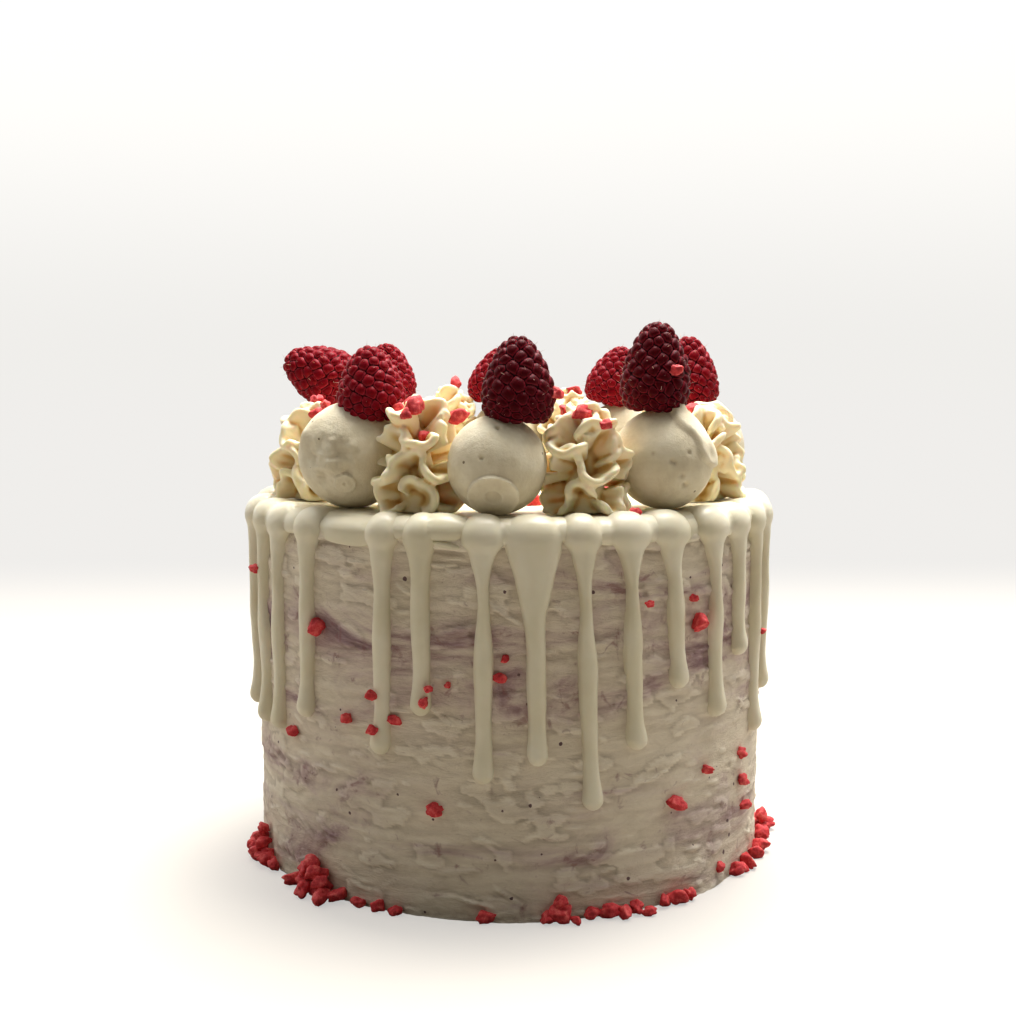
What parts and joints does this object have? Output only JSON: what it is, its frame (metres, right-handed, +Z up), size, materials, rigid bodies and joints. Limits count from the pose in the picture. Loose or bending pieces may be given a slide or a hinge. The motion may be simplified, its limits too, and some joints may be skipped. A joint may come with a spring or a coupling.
{
  "type": "white chocolate cake",
  "caption": "Tall round buttercream cake with poured white chocolate running down in drips, topped with meringue balls, piped rosettes and raspberries",
  "frame": {"origin": "centre of the cake's flat base, on the surface it stands on", "axes": "+Z up, -Y towards the front of the cake, +X to the right as seen from the front"},
  "size_m": [0.1624, 0.1619, 0.1594],
  "materials": {
    "buttercream": "matte palette-knifed buttercream, off-white with mauve streaks and coral raspberry crumbs",
    "white_chocolate": "satin poured white chocolate, ivory",
    "meringue": "chalky matte off-white meringue with fine pits",
    "piped_buttercream": "smooth soft buttercream, pale warm cream",
    "raspberry": "deep red drupelets with a soft sheen and fine pale hairs"
  },
  "bodies": {
    "root": {"cake": "buttercream", "white_chocolate_drip": "white_chocolate", "meringue_1": "meringue", "meringue_2": "meringue", "meringue_3": "meringue", "meringue_4": "meringue", "meringue_5": "meringue", "meringue_6": "meringue", "meringue_7": "meringue", "meringue_8": "meringue", "rosette_1": "piped_buttercream", "rosette_2": "piped_buttercream", "rosette_3": "piped_buttercream", "rosette_4": "piped_buttercream", "rosette_5": "piped_buttercream", "rosette_6": "piped_buttercream", "rosette_7": "piped_buttercream", "rosette_8": "piped_buttercream", "raspberry_1": "raspberry", "raspberry_2": "raspberry", "raspberry_3": "raspberry", "raspberry_4": "raspberry", "raspberry_5": "raspberry", "raspberry_6": "raspberry", "raspberry_7": "raspberry", "raspberry_8": "raspberry"}
  },
  "joints": []
}
